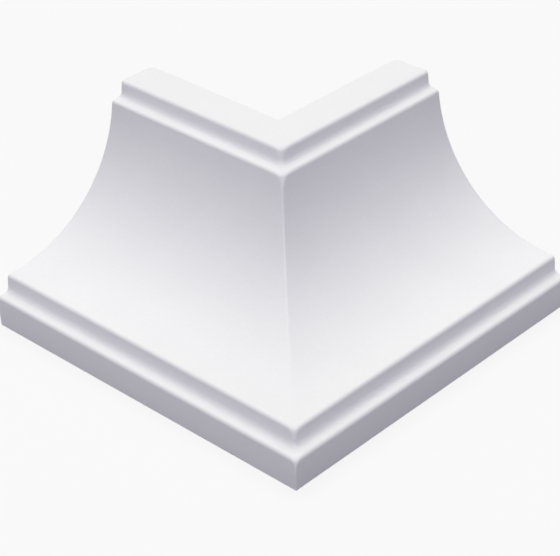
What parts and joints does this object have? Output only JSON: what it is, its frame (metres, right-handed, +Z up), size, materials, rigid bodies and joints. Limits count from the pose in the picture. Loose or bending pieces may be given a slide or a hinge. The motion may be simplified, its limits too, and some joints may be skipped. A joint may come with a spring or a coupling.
{
  "type": "outside corner trim",
  "caption": "Outside corner of a white cove cornice: equal mitred wings with a stepped top lip, a wide quarter-round cove and a stepped base lip.",
  "frame": {"origin": "foot of the wall's outside corner, in the plane of the wide face that the part stands on", "axes": "+Z up from the wide face to the top lip; +X along one wing's wall to its cut end, +Y along the other wing's wall to its cut end; the seen side faces -X and -Y"},
  "size_m": [0.1785, 0.1785, 0.0902],
  "materials": {
    "moulding": "factory-primed white, smooth satin to matte"
  },
  "bodies": {
    "root": {"corner_moulding": "moulding"}
  },
  "joints": []
}
